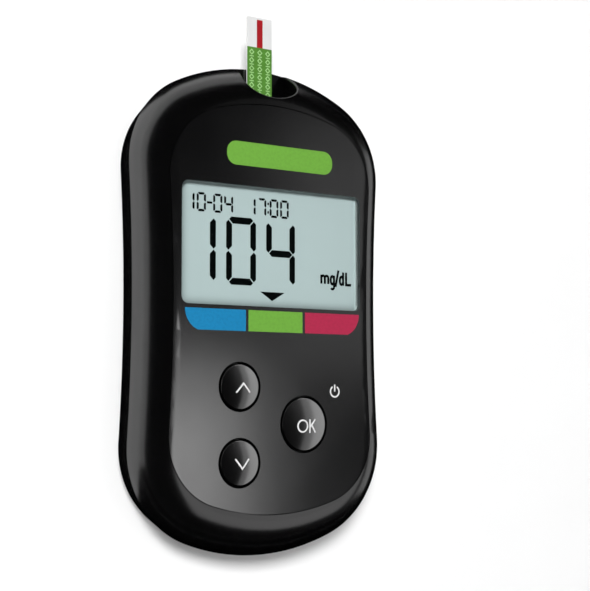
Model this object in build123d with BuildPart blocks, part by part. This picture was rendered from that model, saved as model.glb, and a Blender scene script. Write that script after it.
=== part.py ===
from build123d import *
import os
from math import atan2, degrees, radians, sqrt, tan

# Blood glucose meter with its test strip in the port.
# Millimetres. The meter lies on its back: Z = 0 is the flat back face, +Z points out of the
# display, +Y runs up the length towards the strip port, and X = 0 is the plane of symmetry.

os.makedirs("parts", exist_ok=True)

# ---------------------------------------------------------------- driving dimensions

# Body outline, seen from the front
body_width = 52.0
body_length = 86.0
waist_depth = 0.77  # each side draws in by this much between the shoulders and the hips
shoulder_radius = 16.05
hip_radius = 17.35
top_end_radius = 38.2
bottom_end_radius = 41.6

# Body section
face_height = 15.4
face_edge_radius = 6.3  # rounding from the face to the sides, down to a crease
crease_depth = 5.5  # from the face down to the crease, where the body is widest
front_depth = 6.6  # from the face down to the parting line
side_taper = 16.0  # degrees, from the crease down
rear_edge_radius = 6.0
shell_wall = 1.6

# Groove round the outside, above the parting line
groove_depth = 0.2
groove_height = 0.15

# Tongue of the front shell that sits in a rebate of the rear shell
tongue_height = 0.8
tongue_wall = 0.6
tongue_clearance = 0.1

# Fascia panel let into the front shell
bezel_side = 4.9
bezel_end = 7.4
fascia_corner_radius = 12.0
fascia_end_radius = 42.5
fascia_thickness = 1.4
seam_gap = 0.15
web_thickness = 1.2  # wall of the front shell behind the fascia

# Display
window_side_margin = 1.405  # fascia left beside the window at the waist
window_top_gap = 3.77  # from the strip connector down to the window
window_bottom_gap = 20.37  # from the window down to the middle of the button group
window_corner_radius = 1.4
lens_overlap = 0.8
lens_thickness = 0.8
lens_clearance = 0.1
gasket_thickness = 0.3
gasket_width = 0.7
gasket_setback = 0.1  # gasket's inner edge outside the window
lcd_side_margin = 0.9
lcd_top_margin = 1.3
lcd_bottom_margin = 1.0
lcd_ledge = 2.4  # strip of front glass that carries the contacts
glass_thickness = 0.6
polariser_thickness = 0.2
lcd_clearance = 0.15
web_clearance = 0.25
frame_wall = 0.75
frame_floor = 1.0
frame_lip = 0.3  # how far the frame's walls reach up past the rear polariser
frame_clearance = 0.15  # round the frame inside the front shell
zebra_length = 34.0
zebra_width = 1.6
zebra_clearance = 0.15

# Circuit board
board_depth = 3.4  # from the web's inner face down to the board
board_thickness = 1.0
board_edge_gap = 0.54
board_scoop_gap = 0.5

# Buttons
button_group_height = 22.8  # middle of the button group above the bottom end
button_pitch = 12.94  # from the up button to the down button
arrow_button_x = -7.24
ok_button_x = 6.25
arrow_hole_radius = 4.3
ok_hole_radius = 5.08
cap_gap = 0.45
cap_rise = 0.8  # top of the cap above the face
cap_crown = 0.7  # height of the domed top
cap_edge_radius = 0.25
flange_overlap = 0.7
flange_thickness = 0.9
flange_gap = 0.15
stem_radius = 1.2
stem_gap = 0.05
dome_radius = 3.0
dome_height = 0.55
dome_thickness = 0.12

# Strip port: an oval scoop in the top end, with a slot in its back wall
scoop_half_width = 5.7
scoop_depth = 5.7  # from the top end down to the lip
scoop_shoulder = 2.9  # from the lip to the widest point
scoop_mouth = 4.2  # from the widest point outwards
scoop_rim_radius = 0.3
scoop_wall = 1.2
scoop_floor_gap = 0.25

# Strip connector
connector_width = 9.6
connector_length = 10.6
connector_top_gap = 0.4
connector_setback = 0.7
connector_floor = 0.77
contact_pitch = 1.5
contact_width = 0.6
contact_thickness = 0.15
contact_slot_clearance = 0.15
contact_groove_length = 6.2
contact_tail = 1.0
contact_roof_drop = 0.5
contact_roof_length = 1.1
contact_touch_reach = 4.0
contact_touch_gap = 0.05
contact_tip = 1.0

# Test strip
strip_width = 5.2
strip_inserted = 9.2  # length inside the connector
strip_tip_reach = 9.5  # past the top end of the body
strip_base_thickness = 0.30
strip_film_thickness = 0.15
strip_tip_length = 5.45  # white tip past the printed cover
strip_bare_end = 5.3  # contact end without cover
channel_width = 1.26
channel_end_wall = 0.35
channel_sink = 0.03  # reagent film below the top of the tip
electrode_thickness = 0.03
electrode_width = 0.8
slot_side_clearance = 0.1
slot_height_clearance = 0.08

# Battery door and bay
door_width = 28.0
door_thickness = 1.5
door_end_gap = 1.4  # from the door's raised end up to the data socket
door_corner_radius = 2.0
door_clearance = 0.12
rail_width = 0.7
rail_height = 0.8
tab_width = 8.0
tab_length = 1.4
grip_count = 4
grip_pitch = 1.8
grip_width = 0.8
grip_length = 11.0
grip_depth = 0.35
grip_setback = 7.0  # middle of the grip below the door's top edge
bay_inset = 0.6
bay_wall = 1.0
bay_socket_gap = 0.18
bay_corner_radius = 2.0
liner_wall = 1.2  # wall of the rear shell behind the door's raised end

# Coin cell
cell_radius = 10.0
cell_thickness = 3.2
cell_end_room = 4.2  # bay past the cell at the bottom end, for the case screws
cell_top_room = 1.6  # bay past the cell at the other end, for the side contact
cell_door_gap = 0.4
cell_rim = 1.3
cell_step = 0.2
cell_edge_radius = 0.3
cradle_clearance = 0.25
cradle_wall = 1.0
cradle_height = 2.8
cradle_gap = 7.0
contact_plate = 0.25
contact_gap = 0.05  # between the side of the cell and its contact
plus_contact_width = 6.0
plus_contact_height = 3.0
minus_contact_width = 4.0
minus_contact_reach = 8.7  # from the middle of the cell to the bend
minus_contact_tip = 3.0
contact_leg_width = 2.0
contact_leg_clearance = 0.15

# Screws
screw_radius = 0.8
screw_head_radius = 1.6
screw_head_height = 1.0
boss_radius = 2.0
screw_bite = 2.6
screw_clearance = 0.2
recess_length = 1.8
recess_width = 0.4
recess_depth = 0.5
board_screw_side = 10.0  # top pair of board screws, in from the sides
board_screw_top_end = 14.5  # and down from the top end
board_screw_bay_gap = 0.4  # bottom pair, between their heads and the bay
board_screw_bottom_end = 16.0  # and up from the bottom end
case_screw_side = 2.4  # in from the sides of the bay
case_screw_end = 2.2  # up from the end of the bay

# Data socket in the bottom end
socket_width = 7.5
socket_height = 2.5
socket_depth = 4.6
socket_sheet = 0.25
socket_corner = 0.9
socket_recess = 0.25  # mouth behind the lower edge of its opening
socket_clearance = 0.3
socket_block = 0.8  # insulator at the back of the socket
socket_tongue_width = 3.6
socket_tongue_height = 0.6
socket_tongue_setback = 0.6
socket_tongue_drop = 0.45

# Snap hooks at the strip end of the shells
hook_x = 10.0
hook_width = 3.0
hook_thickness = 1.2
hook_set_in = 2.05  # from the end wall's inner face to the back of the hook
hook_low = 2.0
hook_gap = 0.15
hook_nose = 0.4
hook_nose_height = 0.7
rib_height = 0.5
rib_length = 2.0  # from its free edge into the end wall
rib_rise = 0.1  # rib above the parting line
rib_gap = 0.1  # from the rib up to the nose of its hook

# Components on the board: width, length and height, then place
microcontroller_size = (9.0, 9.0, 1.2)
microcontroller_offset = (-7.0, 0.4)  # from the middle of the display
memory_chip_size = (5.2, 4.0, 1.0)
memory_chip_offset = (6.5, 3.4)
strip_chip_size = (4.0, 4.0, 0.9)
strip_chip_gap = (1.6, 3.0)  # beside the connector, and back from its front
crystal_size = (1.6, 3.2, 0.8)
crystal_gap = 2.1  # beside the microcontroller
passive_size = (1.6, 0.8, 0.6)
passive_offset = (8.0, -4.0)
passive_pitch = (3.2, 2.2)
passive_columns = 4
passive_rows = 3
chip_edge = 0.15

# ---------------------------------------------------------------- derived levels and places

top_y = body_length / 2
bottom_y = -body_length / 2
parting_height = face_height - front_depth
crease_height = face_height - crease_depth
side_lean = tan(radians(side_taper))
parting_inset = (crease_height - parting_height) * side_lean
web_top = face_height - fascia_thickness
ceiling = web_top - web_thickness
board_top = ceiling - board_depth
board_bottom = board_top - board_thickness
board_inset = shell_wall + board_edge_gap + (crease_height - board_bottom) * side_lean

# strip port, from the top end down
strip_bottom = board_top + connector_floor + slot_height_clearance
strip_film_z = strip_bottom + strip_base_thickness
strip_top = strip_film_z + strip_film_thickness
scoop_floor = strip_bottom - scoop_floor_gap
scoop_lip_y = top_y - scoop_depth
scoop_y = scoop_lip_y + scoop_shoulder
connector_front_y = scoop_lip_y - scoop_wall - connector_setback
connector_back_y = connector_front_y - connector_length
connector_top = ceiling - connector_top_gap

# the display fills what is left between the strip connector and the buttons
button_group_y = bottom_y + button_group_height
window_low_y = button_group_y + window_bottom_gap
window_high_y = connector_back_y - window_top_gap
window_height = window_high_y - window_low_y
window_y = (window_low_y + window_high_y) / 2
window_width = body_width - 2 * (bezel_side + waist_depth + window_side_margin)

lcd_width = window_width + 2 * lcd_side_margin
lcd_top_y = window_high_y + lcd_top_margin
lcd_bottom_y = window_low_y - lcd_bottom_margin
ledge_bottom_y = lcd_bottom_y - lcd_ledge
front_polariser_z = web_top - gasket_thickness - polariser_thickness
front_glass_z = front_polariser_z - glass_thickness
rear_glass_z = front_glass_z - glass_thickness
rear_polariser_z = rear_glass_z - polariser_thickness
frame_floor_z = rear_polariser_z - frame_floor
frame_top = rear_polariser_z + polariser_thickness + frame_lip
zebra_y = lcd_bottom_y - lcd_ledge / 2

# data socket, battery bay and door, from the bottom end up
socket_top = board_bottom
socket_bottom = socket_top - socket_height
socket_front_y = bottom_y + (crease_height - socket_bottom) * side_lean + socket_recess
socket_back_y = socket_front_y + socket_depth
socket_opening_width = socket_width + 2 * socket_clearance
socket_opening_low = socket_bottom - socket_clearance
socket_opening_top = max(parting_height, socket_top + socket_clearance)
socket_reach = socket_front_y + 2 * shell_wall - bottom_y

bay_end_y = socket_back_y + bay_socket_gap + bay_wall
cell_y = bay_end_y + cell_end_room + cell_radius
bay_top_y = cell_y + cell_radius + cell_top_room
door_top_y = bay_top_y + bay_wall
door_end_height = socket_bottom - door_end_gap
cell_bottom = door_thickness + cell_door_gap
cell_top = cell_bottom + cell_thickness
bay_ceiling = cell_top + contact_plate
bay_top = bay_ceiling + bay_wall
bay_half_width = door_width / 2 - bay_inset
bay_block_width = door_width + 2 * (rail_width + door_clearance + bay_wall)
bay_block_low_y = bay_end_y - bay_wall
bay_block_top_y = door_top_y + tab_length + door_clearance + bay_wall

buttons = {
    "up": (arrow_button_x, button_group_y + button_pitch / 2, arrow_hole_radius),
    "down": (arrow_button_x, button_group_y - button_pitch / 2, arrow_hole_radius),
    "ok": (ok_button_x, button_group_y, ok_hole_radius),
}
both_sides = (-1, 1)


# ---------------------------------------------------------------- outlines


def waisted_arcs(half_width, top, bottom, shoulder_r, hip_r, top_r, bottom_r):
    """Right half of a waisted outline, from the top centre down to the bottom centre.

    The five arcs are tangent to each other. Each is (centre, radius, start angle, end angle,
    side), where side is 1 for an arc that bulges outwards and -1 for the hollow waist.
    """
    shoulder_x = half_width - shoulder_r
    hip_x = half_width - hip_r
    shoulder_y = top - top_r + sqrt((top_r - shoulder_r) ** 2 - shoulder_x**2)
    hip_y = bottom + bottom_r - sqrt((bottom_r - hip_r) ** 2 - hip_x**2)
    waist_lean = 2 * waist_depth * (shoulder_r - hip_r)
    waist_y = (shoulder_y**2 - hip_y**2 - waist_lean) / (2 * (shoulder_y - hip_y))
    waist_r = ((waist_y - shoulder_y) ** 2 + waist_depth**2) / (2 * waist_depth) - shoulder_r
    waist_x = half_width - waist_depth + waist_r
    top_angle = degrees(atan2(shoulder_y - top + top_r, shoulder_x))
    shoulder_angle = degrees(atan2(waist_y - shoulder_y, waist_x - shoulder_x))
    hip_angle = degrees(atan2(waist_y - hip_y, waist_x - hip_x))
    bottom_angle = degrees(atan2(hip_y - bottom - bottom_r, hip_x))
    return [
        ((0, top - top_r), top_r, 90, top_angle, 1),
        ((shoulder_x, shoulder_y), shoulder_r, top_angle, shoulder_angle, 1),
        ((waist_x, waist_y), waist_r, 180 + shoulder_angle, 180 + hip_angle, -1),
        ((hip_x, hip_y), hip_r, hip_angle, bottom_angle, 1),
        ((0, bottom + bottom_r), bottom_r, bottom_angle, -90, 1),
    ]


body_arcs = waisted_arcs(
    body_width / 2, top_y, bottom_y, shoulder_radius, hip_radius, top_end_radius, bottom_end_radius
)
fascia_arcs = waisted_arcs(
    body_width / 2 - bezel_side,
    top_y - bezel_end,
    bottom_y + bezel_end,
    fascia_corner_radius,
    fascia_corner_radius,
    fascia_end_radius,
    fascia_end_radius,
)


def outline(arcs, inset):
    """Flat face inside the outline, drawn in by inset on every side."""
    with BuildSketch() as face:
        with BuildLine():
            for centre, radius, start, end, side in arcs:
                CenterArc(centre, radius - side * inset, start, end - start)
            mirror(about=Plane.YZ)
        make_face()
    return face.sketch


def front_form(inset, top):
    """Front half of the body drawn in by inset: rounded from its face at height top down to the
    crease, and tapered from there to the parting line."""
    edge_radius = face_edge_radius - (face_height - top)
    crease_rise = edge_radius - (top - crease_height)
    crease_inset = edge_radius - sqrt(edge_radius**2 - crease_rise**2)
    with BuildPart() as form:
        with BuildSketch(Plane.XY.offset(parting_height)):
            add(outline(body_arcs, inset - crease_inset))
        extrude(amount=top - parting_height)
        face_edges = form.edges().group_by(Axis.Z)[-1]
        fillet(face_edges, edge_radius)
        split(bisect_by=Plane.XY.offset(crease_height), keep=Keep.TOP)
        crease_face = form.faces().sort_by(Axis.Z)[0]
        extrude(crease_face, amount=crease_height - parting_height, taper=side_taper)
    return form.part


def rear_form(inset):
    """Rear half of the body drawn in by inset: a tapered tub with a rounded back edge."""
    with BuildPart() as form:
        with BuildSketch(Plane.XY.offset(parting_height)):
            add(outline(body_arcs, inset + parting_inset))
        extrude(amount=inset - parting_height, taper=side_taper)
        back_edges = form.edges().group_by(Axis.Z)[0]
        fillet(back_edges, rear_edge_radius - inset)
    return form.part


front_outer = front_form(0, face_height)
front_cavity = front_form(shell_wall, ceiling)
rear_outer = rear_form(0)
rear_cavity = rear_form(shell_wall)


# ---------------------------------------------------------------- shapes shared by pieces

on_base = (Align.CENTER, Align.CENTER, Align.MIN)
from_low = (Align.CENTER, Align.MIN, Align.MIN)
on_edge = (Align.CENTER, Align.MIN)

lens_width = window_width + 2 * lens_overlap
lens_height = window_height + 2 * lens_overlap
lens_corner_radius = window_corner_radius + lens_overlap

web_opening_width = lcd_width + 2 * web_clearance
web_opening_length = lcd_top_y - ledge_bottom_y + 2 * web_clearance
tray_width = lcd_width + 2 * lcd_clearance
tray_low_y = ledge_bottom_y - lcd_clearance
tray_length = lcd_top_y + lcd_clearance - tray_low_y

hook_top = parting_height + rib_rise + rib_height + rib_gap + hook_nose_height
minus_contact_y = cell_y - minus_contact_reach
plus_contact_y = cell_y + cell_radius + contact_gap


def mirrored(place):
    """A place and its mirror image across X = 0."""
    return [(side * place[0], place[1]) for side in both_sides]


def at_height(places, height):
    """The same places lifted to one height."""
    return [(x, y, height) for x, y in places]


board_screws_top = (body_width / 2 - board_screw_side, top_y - board_screw_top_end)
board_screws_bottom = (
    bay_block_width / 2 + board_screw_bay_gap + screw_head_radius,
    bottom_y + board_screw_bottom_end,
)
board_screw_places = mirrored(board_screws_top) + mirrored(board_screws_bottom)
case_screw_places = mirrored((bay_half_width - case_screw_side, bay_end_y + case_screw_end))

hook_reach = hook_x + hook_width / 2
end_wall_radius = top_end_radius - shell_wall - parting_inset
end_wall_drop = top_end_radius - sqrt(end_wall_radius**2 - hook_reach**2)
hook_places = mirrored((hook_x, top_y - end_wall_drop - hook_set_in))


def scoop_outline(growth):
    """Oval plan of the scoop, drawn outwards by growth: two half ellipses on one width."""
    with BuildSketch() as oval:
        with BuildLine():
            for reach, start in ((scoop_mouth, 0), (scoop_shoulder, 180)):
                EllipticalCenterArc(
                    (0, scoop_y), scoop_half_width + growth, reach + growth, start, arc_size=180
                )
        make_face()
    return oval.sketch


def door_form(gap):
    """Battery door: a plate that wraps round the bottom end, with side rails and a tab.

    A positive gap draws it outwards, for the recess that takes it.
    """
    length = door_top_y - bottom_y
    rail_low = door_thickness - rail_height - gap
    rail_depth = rail_height + 2 * gap
    with BuildPart() as form:
        with BuildSketch():
            with Locations((0, door_top_y + gap)):
                Rectangle(door_width + 2 * gap, length, align=(Align.CENTER, Align.MAX))
            fillet(vertices().group_by(Axis.Y)[-1], door_corner_radius + gap)
        extrude(amount=door_end_height + gap)
        with Locations((0, bottom_y, rail_low)):
            rails_length = length - door_corner_radius
            Box(door_width + 2 * (rail_width + gap), rails_length, rail_depth, align=from_low)
        with Locations((0, door_top_y - tab_length, rail_low)):
            Box(tab_width + 2 * gap, 2 * tab_length + gap, rail_depth, align=from_low)
        add(rear_outer, mode=Mode.INTERSECT)
        add(rear_form(door_thickness + gap), mode=Mode.SUBTRACT)
    return form.part


# ---------------------------------------------------------------- front shell

with BuildPart() as scoop_boss:
    with BuildSketch(Plane.XY.offset(parting_height)):
        add(scoop_outline(scoop_wall))
    extrude(amount=face_height - parting_height)
    add(front_outer, mode=Mode.INTERSECT)

with BuildPart() as front_shell:
    add(front_outer)
    add(front_cavity, mode=Mode.SUBTRACT)
    add(scoop_boss.part)

    # bosses for the screws
    with Locations(*at_height(board_screw_places + case_screw_places, board_top)):
        Cylinder(boss_radius, ceiling - board_top, align=on_base)
        Cylinder(screw_radius, screw_bite, align=on_base, mode=Mode.SUBTRACT)

    # groove and tongue round the parting line
    with BuildSketch(Plane.XY.offset(parting_height)):
        add(outline(body_arcs, 0))
        add(outline(body_arcs, parting_inset + groove_depth), mode=Mode.SUBTRACT)
    extrude(amount=groove_height, mode=Mode.SUBTRACT)
    with BuildSketch(Plane.XY.offset(parting_height)):
        add(outline(body_arcs, parting_inset + shell_wall - tongue_wall))
        add(outline(body_arcs, parting_inset + shell_wall), mode=Mode.SUBTRACT)
    extrude(amount=-tongue_height)

    # recess for the fascia, and the openings behind it for the display and the buttons
    with BuildSketch(Plane.XY.offset(web_top)):
        add(outline(fascia_arcs, -seam_gap))
    extrude(amount=2 * fascia_thickness, mode=Mode.SUBTRACT)
    with Locations((0, ledge_bottom_y - web_clearance, ceiling)):
        Box(web_opening_width, web_opening_length, web_thickness, align=from_low, mode=Mode.SUBTRACT)
    with Locations((0, tray_low_y - frame_wall - frame_clearance, board_top)):
        pocket_width = tray_width + 2 * (frame_wall + frame_clearance)
        pocket_length = tray_length + 2 * (frame_wall + frame_clearance)
        Box(pocket_width, pocket_length, ceiling - board_top, align=from_low, mode=Mode.SUBTRACT)
    for x, y, hole_radius in buttons.values():
        with Locations((x, y, ceiling)):
            Cylinder(hole_radius, web_thickness, align=on_base, mode=Mode.SUBTRACT)

    # scoop for the finger, and the strip slot in its back wall
    with BuildSketch(Plane.XY.offset(scoop_floor)):
        add(scoop_outline(0))
    extrude(amount=face_height - scoop_floor, mode=Mode.SUBTRACT)
    rim_edges = front_shell.edges(Select.NEW).filter_by(GeomType.BSPLINE)
    fillet(rim_edges, scoop_rim_radius)
    with Locations((0, connector_front_y, strip_bottom - slot_height_clearance)):
        Box(
            strip_width + 2 * slot_side_clearance,
            scoop_y - connector_front_y,
            strip_top - strip_bottom + 2 * slot_height_clearance,
            align=from_low,
            mode=Mode.SUBTRACT,
        )

    # data socket's opening, where it cuts the tongue
    with Locations((0, bottom_y, parting_height - tongue_height)):
        cut_height = socket_opening_top - parting_height + tongue_height
        Box(socket_opening_width, socket_reach, cut_height, align=from_low, mode=Mode.SUBTRACT)

    # ribs that the rear shell's hooks catch
    with Locations(*at_height(hook_places, parting_height + rib_rise)):
        with Locations((0, hook_thickness + hook_gap, 0)):
            Box(hook_width, rib_length, rib_height, align=from_low)
front_shell.part.label = "front_shell"
export_step(front_shell.part, "parts/front_shell.step")


# ---------------------------------------------------------------- rear shell and battery door

with BuildPart() as bay_block:
    with Locations((0, bay_block_low_y, 0)):
        Box(bay_block_width, bay_block_top_y - bay_block_low_y, bay_top, align=from_low)
    add(rear_outer, mode=Mode.INTERSECT)

with BuildPart() as door_liner:
    add(rear_form(door_thickness + door_clearance))
    add(rear_form(door_thickness + door_clearance + liner_wall), mode=Mode.SUBTRACT)
    with Locations((0, bottom_y, 0)):
        liner_length = bay_end_y - bottom_y
        Box(bay_block_width, liner_length, socket_opening_low, align=from_low, mode=Mode.INTERSECT)

with BuildPart() as rear_shell:
    add(rear_outer)
    add(rear_cavity, mode=Mode.SUBTRACT)

    # rebate for the front shell's tongue
    with BuildSketch(Plane.XY.offset(parting_height)):
        add(outline(body_arcs, parting_inset + shell_wall - tongue_wall - tongue_clearance))
    extrude(amount=-(tongue_height + tongue_clearance), mode=Mode.SUBTRACT)

    # battery bay: a block with a pocket for the cell, recessed for the door
    add(bay_block.part)
    add(door_liner.part)
    add(door_form(door_clearance), mode=Mode.SUBTRACT)
    with BuildSketch():
        with Locations((0, (bay_end_y + bay_top_y) / 2)):
            RectangleRounded(2 * bay_half_width, bay_top_y - bay_end_y, bay_corner_radius)
    extrude(amount=bay_ceiling, mode=Mode.SUBTRACT)

    # cradle ring round the cell, open where the side contact stands
    with BuildSketch(Plane.XY.offset(bay_ceiling)):
        with Locations((0, cell_y)):
            Circle(cell_radius + cradle_clearance + cradle_wall)
            Circle(cell_radius + cradle_clearance, mode=Mode.SUBTRACT)
            Rectangle(cradle_gap, 2 * cell_radius, align=on_edge, mode=Mode.SUBTRACT)
    extrude(amount=-cradle_height)

    # posts for the case screws, and their holes from the bay
    with Locations(*at_height(case_screw_places, bay_ceiling)):
        Cylinder(boss_radius, board_bottom - bay_ceiling, align=on_base)
        hole_radius = screw_radius + screw_clearance
        Cylinder(hole_radius, board_bottom - bay_ceiling, align=on_base, mode=Mode.SUBTRACT)

    # slots that the contact legs pass through
    leg_slot_width = contact_leg_width + 2 * contact_leg_clearance
    leg_slot_length = contact_plate + 2 * contact_leg_clearance
    for leg_y in (minus_contact_y, plus_contact_y):
        with Locations((0, leg_y - contact_leg_clearance, bay_ceiling)):
            Box(leg_slot_width, leg_slot_length, bay_wall, align=from_low, mode=Mode.SUBTRACT)

    # opening for the data socket, up to the parting line
    with Locations((0, bottom_y, socket_opening_low)):
        opening_height = socket_opening_top - socket_opening_low
        Box(socket_opening_width, socket_reach, opening_height, align=from_low, mode=Mode.SUBTRACT)

    # hooks that catch the front shell's ribs
    with Locations(*at_height(hook_places, hook_low)):
        Box(hook_width, hook_thickness, hook_top - hook_low, align=from_low)
    with Locations(*at_height(hook_places, hook_top - hook_nose_height)):
        Box(hook_width, hook_thickness + hook_nose, hook_nose_height, align=from_low)
rear_shell.part.label = "rear_shell"
export_step(rear_shell.part, "parts/rear_shell.step")

with BuildPart() as battery_door:
    add(door_form(0))
    # grip grooves across the back
    with Locations((0, door_top_y - grip_setback, 0)):
        with GridLocations(0, grip_pitch, 1, grip_count):
            Box(grip_length, grip_width, grip_depth, align=on_base, mode=Mode.SUBTRACT)
battery_door.part.label = "battery_door"
export_step(battery_door.part, "parts/battery_door.step")


# ---------------------------------------------------------------- fascia and display

with BuildPart() as fascia_panel:
    with BuildSketch(Plane.XY.offset(web_top)):
        add(outline(fascia_arcs, 0))
        with Locations((0, window_y)):
            RectangleRounded(window_width, window_height, window_corner_radius, mode=Mode.SUBTRACT)
        for x, y, hole_radius in buttons.values():
            with Locations((x, y)):
                Circle(hole_radius, mode=Mode.SUBTRACT)
    extrude(amount=fascia_thickness)
    add(front_outer, mode=Mode.INTERSECT)
    # rebate behind the window for the lens
    with BuildSketch(Plane.XY.offset(web_top)):
        with Locations((0, window_y)):
            RectangleRounded(lens_width, lens_height, lens_corner_radius)
    extrude(amount=lens_thickness, mode=Mode.SUBTRACT)
fascia_panel.part.label = "fascia_panel"
export_step(fascia_panel.part, "parts/fascia_panel.step")

with BuildPart() as display_lens:
    with BuildSketch(Plane.XY.offset(web_top)):
        with Locations((0, window_y)):
            RectangleRounded(
                lens_width - 2 * lens_clearance,
                lens_height - 2 * lens_clearance,
                lens_corner_radius - lens_clearance,
            )
    extrude(amount=lens_thickness)
display_lens.part.label = "display_lens"
export_step(display_lens.part, "parts/display_lens.step")

with BuildPart() as display_gasket:
    gasket_inner = gasket_setback
    gasket_outer = gasket_setback + gasket_width
    with BuildSketch(Plane.XY.offset(web_top)):
        with Locations((0, window_y)):
            Rectangle(window_width + 2 * gasket_outer, window_height + 2 * gasket_outer)
            Rectangle(
                window_width + 2 * gasket_inner,
                window_height + 2 * gasket_inner,
                mode=Mode.SUBTRACT,
            )
    extrude(amount=-gasket_thickness)
display_gasket.part.label = "display_gasket"
export_step(display_gasket.part, "parts/display_gasket.step")

display_layers = {
    "front_polariser": (lcd_bottom_y, front_polariser_z, polariser_thickness),
    "lcd_front_glass": (ledge_bottom_y, front_glass_z, glass_thickness),
    "lcd_rear_glass": (lcd_bottom_y, rear_glass_z, glass_thickness),
    "rear_polariser": (lcd_bottom_y, rear_polariser_z, polariser_thickness),
}
for name, (low_y, low_z, thickness) in display_layers.items():
    with BuildPart() as layer:
        with Locations((0, low_y, low_z)):
            Box(lcd_width, lcd_top_y - low_y, thickness, align=from_low)
    layer.part.label = name
    export_step(layer.part, f"parts/{name}.step")

with BuildPart() as lcd_frame:
    with Locations((0, tray_low_y - frame_wall, board_top)):
        frame_length = tray_length + 2 * frame_wall
        Box(tray_width + 2 * frame_wall, frame_length, frame_top - board_top, align=from_low)
    with Locations((0, tray_low_y, rear_polariser_z)):
        Box(tray_width, tray_length, frame_top - rear_polariser_z, align=from_low, mode=Mode.SUBTRACT)
    with Locations((0, tray_low_y, board_top)):
        Box(tray_width, tray_length, frame_floor_z - board_top, align=from_low, mode=Mode.SUBTRACT)
    with Locations((0, zebra_y, frame_floor_z)):
        Box(
            zebra_length + 2 * zebra_clearance,
            zebra_width + 2 * zebra_clearance,
            frame_floor,
            align=on_base,
            mode=Mode.SUBTRACT,
        )
lcd_frame.part.label = "lcd_frame"
export_step(lcd_frame.part, "parts/lcd_frame.step")

with BuildPart() as zebra_connector:
    with Locations((0, zebra_y, board_top)):
        Box(zebra_length, zebra_width, front_glass_z - board_top, align=on_base)
zebra_connector.part.label = "zebra_connector"
export_step(zebra_connector.part, "parts/zebra_connector.step")


# ---------------------------------------------------------------- circuit board and its components

with BuildPart() as circuit_board:
    board_top_y = scoop_lip_y - scoop_wall - board_scoop_gap
    with BuildSketch(Plane.XY.offset(board_bottom)):
        add(outline(body_arcs, board_inset))
        with Locations((0, board_top_y)):
            Rectangle(body_width, body_length, align=on_edge, mode=Mode.SUBTRACT)
        with Locations(*board_screw_places, *case_screw_places):
            Circle(screw_radius + screw_clearance, mode=Mode.SUBTRACT)
    extrude(amount=board_thickness)
circuit_board.part.label = "circuit_board"
export_step(circuit_board.part, "parts/circuit_board.step")

microcontroller_x = microcontroller_offset[0]
microcontroller_y = window_y + microcontroller_offset[1]
strip_chip_x = (connector_width + strip_chip_size[0]) / 2 + strip_chip_gap[0]
strip_chip_y = connector_front_y - strip_chip_gap[1] - strip_chip_size[1] / 2
crystal_x = microcontroller_x - (microcontroller_size[0] + crystal_size[0]) / 2 - crystal_gap
chips = {
    "microcontroller": (microcontroller_size, (microcontroller_x, microcontroller_y)),
    "memory_chip": (memory_chip_size, (memory_chip_offset[0], window_y + memory_chip_offset[1])),
    "strip_interface_chip": (strip_chip_size, (strip_chip_x, strip_chip_y)),
    "clock_crystal": (crystal_size, (crystal_x, microcontroller_y)),
}
for name, (size, (x, y)) in chips.items():
    with BuildPart() as chip:
        with Locations((x, y, board_top)):
            Box(*size, align=on_base)
        chamfer(chip.edges().group_by(Axis.Z)[-1], chip_edge)
    chip.part.label = name
    export_step(chip.part, f"parts/{name}.step")

with BuildPart() as passive_components:
    with Locations((passive_offset[0], window_y + passive_offset[1], board_top)):
        with GridLocations(*passive_pitch, passive_columns, passive_rows):
            Box(*passive_size, align=on_base)
passive_components.part.label = "passive_components"
export_step(passive_components.part, "parts/passive_components.step")

with BuildPart() as data_socket_shell:
    with BuildSketch(Plane.XZ.offset(-socket_front_y)):
        with Locations((0, (socket_top + socket_bottom) / 2)):
            Rectangle(socket_width, socket_height)
        chamfer(vertices().group_by(Axis.Z)[0], socket_corner)
        offset(amount=-socket_sheet, mode=Mode.SUBTRACT)
    extrude(amount=-socket_depth)
data_socket_shell.part.label = "data_socket_shell"
export_step(data_socket_shell.part, "parts/data_socket_shell.step")

with BuildPart() as data_socket_tongue:
    block_width = socket_width - 2 * (socket_sheet + socket_corner)
    block_height = socket_height - 2 * socket_sheet
    with Locations((0, socket_back_y - socket_block, socket_bottom + socket_sheet)):
        Box(block_width, socket_block, block_height, align=from_low)
    tongue_top = socket_top - socket_sheet - socket_tongue_drop
    tongue_front_y = socket_front_y + socket_tongue_setback
    with Locations((0, tongue_front_y, tongue_top - socket_tongue_height)):
        tongue_length = socket_back_y - tongue_front_y
        Box(socket_tongue_width, tongue_length, socket_tongue_height, align=from_low)
data_socket_tongue.part.label = "data_socket_tongue"
export_step(data_socket_tongue.part, "parts/data_socket_tongue.step")


# ---------------------------------------------------------------- buttons

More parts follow.
